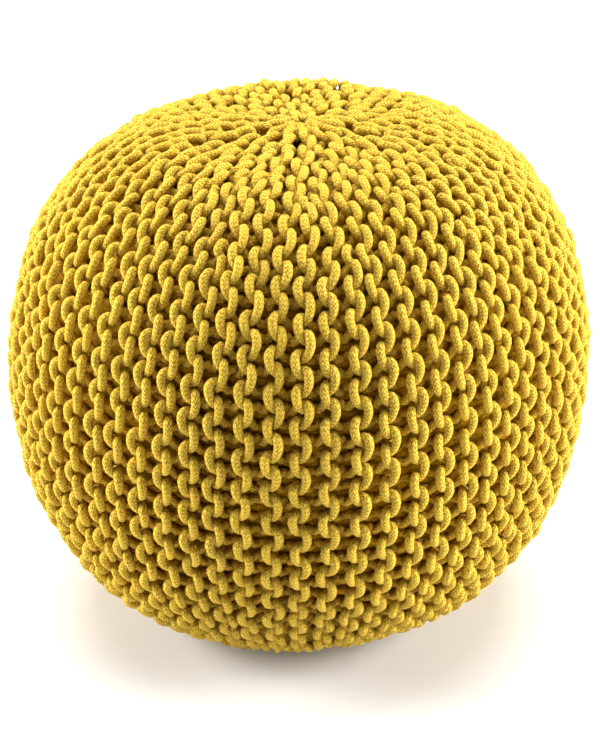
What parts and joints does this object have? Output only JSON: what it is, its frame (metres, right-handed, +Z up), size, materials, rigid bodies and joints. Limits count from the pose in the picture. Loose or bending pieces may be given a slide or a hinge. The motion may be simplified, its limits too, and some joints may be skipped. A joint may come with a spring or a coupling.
{
  "type": "knitted rope pouf",
  "caption": "Round floor pouf of chunky knitted cotton cord, with garter ridges from a gathered crown down to a flat foot, for use as a footstool or low seat.",
  "frame": {"origin": "on the floor, under the middle of the pouf", "axes": "+Z up through the crown's gather, +X to the right and -Y towards the viewer of the picture"},
  "size_m": [0.501, 0.4974, 0.4403],
  "materials": {
    "cotton_cord": "matte mustard-yellow braided cotton cord"
  },
  "bodies": {
    "root": {"knit_pouf": "cotton_cord"}
  },
  "joints": []
}
